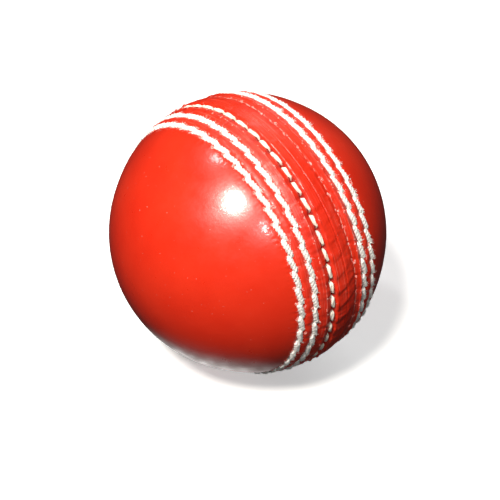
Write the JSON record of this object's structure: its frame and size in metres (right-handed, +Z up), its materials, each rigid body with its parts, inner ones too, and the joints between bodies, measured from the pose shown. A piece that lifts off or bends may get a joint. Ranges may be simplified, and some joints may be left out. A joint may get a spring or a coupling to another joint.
{
  "type": "cricket ball",
  "caption": "Red leather ball with a raised stitched seam: two leather cups sewn over a core of cork layers and yarn windings.",
  "frame": {"origin": "centre of the ball", "axes": "+Y through the poles of the two leather cups, square to the seam plane; the front cup faces -Y. +Z up and +X lie in the plane of the seam"},
  "size_m": [0.0732, 0.0716, 0.0732],
  "materials": {
    "leather": "glossy lacquer over smooth dyed leather",
    "machine_thread": "waxed white thread",
    "closing_thread": "waxed ivory thread",
    "sunk_thread": "thread pulled deep and stained by the red lacquer",
    "nucleus": "matt cork granules bound in rubber",
    "cork": "raw cork",
    "yarn": "tightly wound worsted wool"
  },
  "bodies": {
    "root": {"front_cover_cup": "leather", "back_cover_cup": "leather", "front_outer_stitch_row": "machine_thread", "front_middle_stitch_row": "machine_thread", "front_closing_stitch_row": "closing_thread", "back_closing_stitch_row": "sunk_thread", "back_middle_stitch_row": "machine_thread", "back_outer_stitch_row": "machine_thread", "nucleus": "nucleus", "cork_layer_1a": "cork", "cork_layer_1b": "cork", "yarn_winding_1": "yarn", "cork_layer_2a": "cork", "cork_layer_2b": "cork", "yarn_winding_2": "yarn", "cork_layer_3a": "cork", "cork_layer_3b": "cork", "yarn_winding_3": "yarn", "cork_layer_4a": "cork", "cork_layer_4b": "cork", "yarn_winding_4": "yarn", "cork_layer_5a": "cork", "cork_layer_5b": "cork", "yarn_winding_5": "yarn"}
  },
  "joints": []
}
